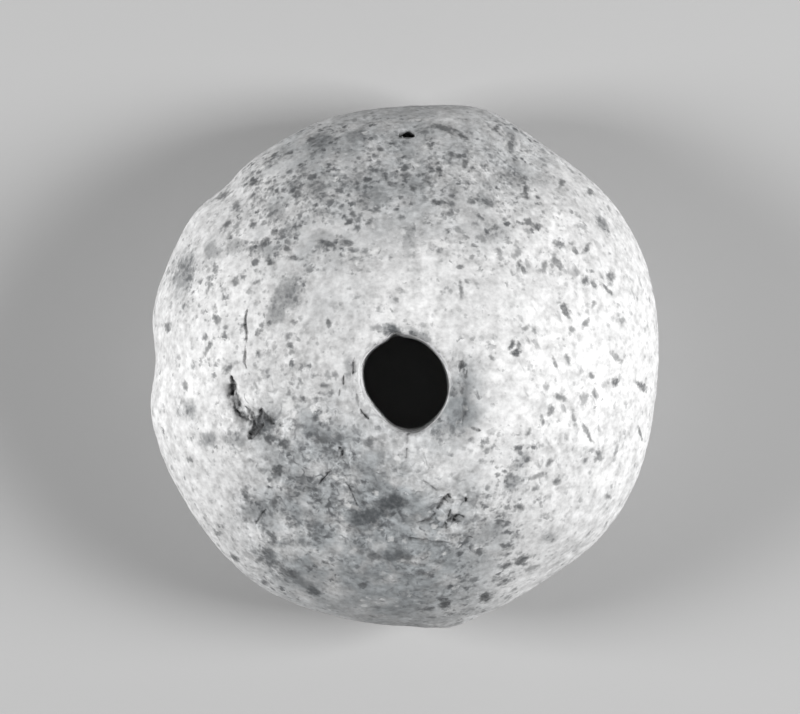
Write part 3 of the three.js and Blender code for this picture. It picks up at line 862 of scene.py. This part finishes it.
def speck_layer():
    """Specks of uneven size and shade, in clumps: how many to the millimetre, and how crowded."""
    group, start, end = new_group("speck_layer", "Per mm", "Crowd")
    lumps = calculate(group, "MULTIPLY", start["Per mm"], SPECK_WANDER_LUMPS)
    wander = noise_of(group, start["Place"], lumps, SPECK_WANDER_DETAIL, socket="Color")
    centred = calculate_vector(group, "SUBTRACT", wander, (NOISE_MIDDLE,) * 3)
    reach = calculate(group, "DIVIDE", SPECK_WANDER, start["Per mm"])
    moved = calculate_vector(group, "SCALE", centred, reach)
    place = calculate_vector(group, "ADD", start["Place"], moved)
    cells = add_node(group, "ShaderNodeTexVoronoi", {"Vector": place, "Scale": start["Per mm"]}).outputs
    size, chance, shade = add_node(group, "ShaderNodeSeparateColor", {"Color": cells["Color"]}).outputs
    clumps = patches(group, cells["Position"], CLUMPS, CLUMP_RISE)
    crowd = calculate(group, "MULTIPLY", start["Crowd"], clumps)
    radius = ranged(group, size, *SPECK_RADIUS)
    outer = calculate(group, "ADD", radius, SPECK_SOFTNESS)
    spot = stretch(group, cells["Distance"], outer, calculate(group, "SUBTRACT", radius, SPECK_SOFTNESS))
    there = calculate(group, "MULTIPLY", spot, calculate(group, "LESS_THAN", chance, crowd))
    group.links.new(calculate(group, "MULTIPLY", there, ranged(group, shade, *SPECK_SHADE)), end["Mask"])
    return group


def ragged_edge():
    """Turns a place's soft share into a spot with a torn edge: how soft, how torn, in how fine a grain."""
    group, start, end = new_group("ragged_edge", "Share", "Softness", "Torn", "Per mm")
    tears = swing_of(group, start["Place"], start["Per mm"], TEAR_DETAIL)
    share = calculate(group, "ADD", start["Share"], calculate(group, "MULTIPLY", tears, start["Torn"]))
    low = calculate(group, "SUBTRACT", SPOT_EDGE, start["Softness"])
    high = calculate(group, "ADD", SPOT_EDGE, start["Softness"])
    near = stretch(group, start["Share"], *SPOT_FADE)
    inside = calculate(group, "MULTIPLY", stretch(group, share, low, high), near)
    uneven = ranged(group, patches(group, start["Place"], SPOT_PATCHES, SPOT_PATCH_RISE), *SPOT_SHADE)
    group.links.new(calculate(group, "MULTIPLY", inside, uneven), end["Mask"])
    return group


def veined(tree, place):
    """A broken net of fine pale lines, 0 between them."""
    bend = calculate_vector(tree, "SCALE", noise_of(tree, place, *VEIN_BENDS, socket="Color"), VEIN_BEND)
    inputs = {"Vector": calculate_vector(tree, "ADD", place, bend), "Scale": VEINS_PER_MM}
    net = add_node(tree, "ShaderNodeTexVoronoi", inputs, feature="DISTANCE_TO_EDGE").outputs["Distance"]
    lines = stretch(tree, net, VEIN_WIDTH, 0.0)
    return calculate(tree, "MULTIPLY", lines, patches(tree, place, VEIN_BREAKS, VEIN_BREAK_RISE))


def threaded(tree, place):
    """Thin winding lines, broken up, 0 between them."""
    off_line = calculate(tree, "ABSOLUTE", swing_of(tree, place, *THREADS), 0.0)
    lines = stretch(tree, off_line, THREAD_WIDTH, 0.0)
    return calculate(tree, "MULTIPLY", lines, patches(tree, place, THREAD_BREAKS, THREAD_BREAK_RISE))


def mottled(tree, place, colour, coarse):
    """A colour with lighter and darker patches of several sizes, and with pale veins in coarse places."""
    depth = ranged(tree, coarse, 1.0, COARSE_CONTRAST)
    vein = calculate(tree, "MULTIPLY", veined(tree, place), coarse)
    shade = calculate(tree, "ADD", calculate(tree, "MULTIPLY", vein, VEIN_LIGHT), 1.0)
    for per_mm, detail, contrast in MOTTLING:
        strength = calculate(tree, "MULTIPLY", depth, contrast)
        swing = calculate(tree, "MULTIPLY", swing_of(tree, place, per_mm, detail), strength)
        shade = calculate(tree, "ADD", shade, swing)
    return calculate_vector(tree, "SCALE", colour, shade)


def ground_colour(tree, bench, clouds, crowd, coarse):
    """Stone that is pale or dusky in broad places, partly as painted light and shade, greyed round crowds
    of specks, and mottled.
    """
    # Pale in its own tone and in painted light, then dusky in its own tone and in painted shade
    colour = blend_colours(tree, stored(tree, "pale"), MEAN_STONE, PALE_STONE_AND_LIGHT)
    dark_tone_and_shade = calculate(tree, "MULTIPLY", stored(tree, "dark_tone_and_shade"), stretch(tree, clouds, *DARK_AND_SHADE_RISE))
    colour = blend_colours(tree, dark_tone_and_shade, colour, DARK_STONE_AND_SHADE)
    haze = calculate(tree, "MULTIPLY", crowd, stretch(tree, clouds, *HAZE_RISE))
    colour = blend_colours(tree, calculate(tree, "MULTIPLY", haze, HAZE), colour, DARK_STONE_AND_SHADE)
    return mottled(tree, bench, colour, coarse)


def speckled(tree, bench, colour, crowd, coarse):
    """A colour under dark threads, specks of three sizes, long leaning flecks and pale glints, which are
    painted highlights.
    """
    threads = calculate(tree, "MULTIPLY", threaded(tree, bench), coarse)
    colour = blend_colours(tree, calculate(tree, "MULTIPLY", threads, THREAD_DARK), colour, SPECK_GREY)
    leaning = add_node(tree, "ShaderNodeMapping", {
        "Vector": bench, "Rotation": (0, 0, math.radians(FLECK_LEAN)), "Scale": FLECK_STRETCH,
    }, vector_type="TEXTURE").outputs[0]
    fine_crowd = calculate(tree, "ADD", crowd, MORE_FINE_SPECKS)
    long_crowd = calculate(tree, "MULTIPLY", stored(tree, "long_flecks"), LONG_FLECK_CROWD)
    faintness = ranged(tree, calculate(tree, "MULTIPLY", crowd, FAINTNESS_GAIN), *FAINTNESS)
    layer = speck_layer()
    for vector, layer_crowd, (per_mm, strength) in (
        (bench, crowd, LARGE_SPECKS),
        (bench, crowd, MEAN_SPECKS),
        (bench, fine_crowd, FINE_SPECKS),
        (leaning, long_crowd, LONG_FLECKS),
    ):
        mask = use_group(tree, layer, Place=vector, Per_mm=per_mm, Crowd=layer_crowd)
        mask = calculate(tree, "MULTIPLY", mask, faintness)
        colour = blend_colours(tree, calculate(tree, "MULTIPLY", mask, strength), colour, SPECK_GREY)
    # Glints: painted highlights, more of them in coarse places
    per_mm, strength = GLINTS
    glints = use_group(tree, layer, Place=bench, Per_mm=per_mm, Crowd=ranged(tree, coarse, *GLINT_CROWD))
    return blend_colours(tree, calculate(tree, "MULTIPLY", glints, strength), colour, GLINT_WHITE)


def spotted(tree, bench, colour):
    """A colour under pale flecks and painted highlights, stains and painted shadows, dark flecks, and the
    dirt and painted shade in the cuts, each with torn edges.
    """
    edge = ragged_edge()
    for name, (softness, torn, grain, over) in SPOTS.items():
        share = stored(tree, name)
        mask = use_group(tree, edge, Place=bench, Share=share, Softness=softness, Torn=torn, Per_mm=grain)
        mask = calculate(tree, "MULTIPLY", mask, stored(tree, name + "_shade"))
        colour = blend_colours(tree, mask, colour, over)
    return colour


def stone_material():
    """Pale grey stone, mottled, speckled and spotted, with a matt worn skin."""
    material = bpy.data.materials.new("speckled_stone")
    material.use_nodes = True
    tree = material.node_tree
    shader = tree.nodes["Principled BSDF"]
    place = add_node(tree, "ShaderNodeTexCoord").outputs["Object"]
    bench = add_node(tree, "ShaderNodeMapping", {"Vector": place, "Scale": (1 / MM,) * 3}).outputs[0]
    clouds = noise_of(tree, bench, *CLOUDS)
    coarse = stored(tree, "coarse")
    in_stains_and_shadows = calculate(tree, "MULTIPLY", stored(tree, "stain_and_shadow"), MORE_IN_STAINS_AND_SHADOWS)
    crowd = calculate(tree, "ADD", stored(tree, "crowd"), in_stains_and_shadows)

    colour = ground_colour(tree, bench, clouds, crowd, coarse)
    colour = speckled(tree, bench, colour, crowd, coarse)
    tree.links.new(spotted(tree, bench, colour), shader.inputs["Base Color"])

    # Matt skin with small bumps
    tree.links.new(ranged(tree, clouds, *ROUGHNESS), shader.inputs["Roughness"])
    shader.inputs["Specular IOR Level"].default_value = SPECULAR
    bump = add_node(tree, "ShaderNodeBump", {
        "Height": noise_of(tree, bench, *BUMPS), "Strength": ranged(tree, coarse, *BUMP_STRENGTH),
        "Distance": BUMP_HEIGHT * MM,
    })
    tree.links.new(bump.outputs[0], shader.inputs["Normal"])
    return material


def make_whorl():
    stone = stone_blank()
    refine(stone, near_cuts, CUT_FINENESS)
    refine(stone, near_flecks, FLECK_FINENESS)
    grind(stone)
    sink_cuts(stone)
    mark_colours(stone)
    stone.vertex_groups.clear()
    resize(stone, MM)
    select_only(stone)
    bpy.ops.object.shade_smooth()
    stone.data.materials.clear()
    stone.data.materials.append(stone_material())
    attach(stone, "root")
    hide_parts("whorl")


def make_floor():
    bpy.ops.object.select_all(action="DESELECT")
    bpy.ops.mesh.primitive_plane_add(size=FLOOR_SIZE * MM)
    floor = bpy.context.object
    floor.name = "floor"
    material = bpy.data.materials.new("pale_floor")
    material.use_nodes = True
    shader = material.node_tree.nodes["Principled BSDF"]
    shader.inputs["Base Color"].default_value = FLOOR_PALE
    shader.inputs["Roughness"].default_value = FLOOR_ROUGHNESS
    floor.data.materials.append(material)


def make_lamp(name, azimuth, height, watts):
    """A soft square lamp that looks at the stone from an angle round it and above the floor."""
    turn, up = math.radians(azimuth), math.radians(height)
    away = Vector((math.cos(turn) * math.cos(up), math.sin(turn) * math.cos(up), math.sin(up)))
    lamp = bpy.data.lights.new(name, "AREA")
    lamp.size = LAMP_SIZE * MM
    lamp.energy = watts
    holder = bpy.data.objects.new(name, lamp)
    holder.location = away * LAMP_DISTANCE * MM
    holder.rotation_euler = away.to_track_quat("Z", "Y").to_euler()
    bpy.context.scene.collection.objects.link(holder)


def make_studio():
    for name, setting in LAMPS.items():
        make_lamp(name, *setting)
    world = bpy.data.worlds.new("studio")
    world.use_nodes = True
    sky = world.node_tree.nodes["Background"]
    sky.inputs["Color"].default_value = SKY_GREY
    sky.inputs["Strength"].default_value = SKY_STRENGTH
    bpy.context.scene.world = world
    bpy.context.scene.view_settings.view_transform = "Standard"


def make_camera():
    """The eye straight above the stone, with the picture's top towards +Y."""
    camera = bpy.data.cameras.new("camera")
    camera.lens = LENS
    camera.sensor_width = SENSOR
    holder = bpy.data.objects.new("camera", camera)
    holder.location = Vector((*EYE_PLACE, GIRTH_HEIGHT + EYE_RISE)) * MM
    bpy.context.scene.collection.objects.link(holder)
    bpy.context.scene.camera = holder


make_camera()
make_whorl()
make_floor()
make_studio()
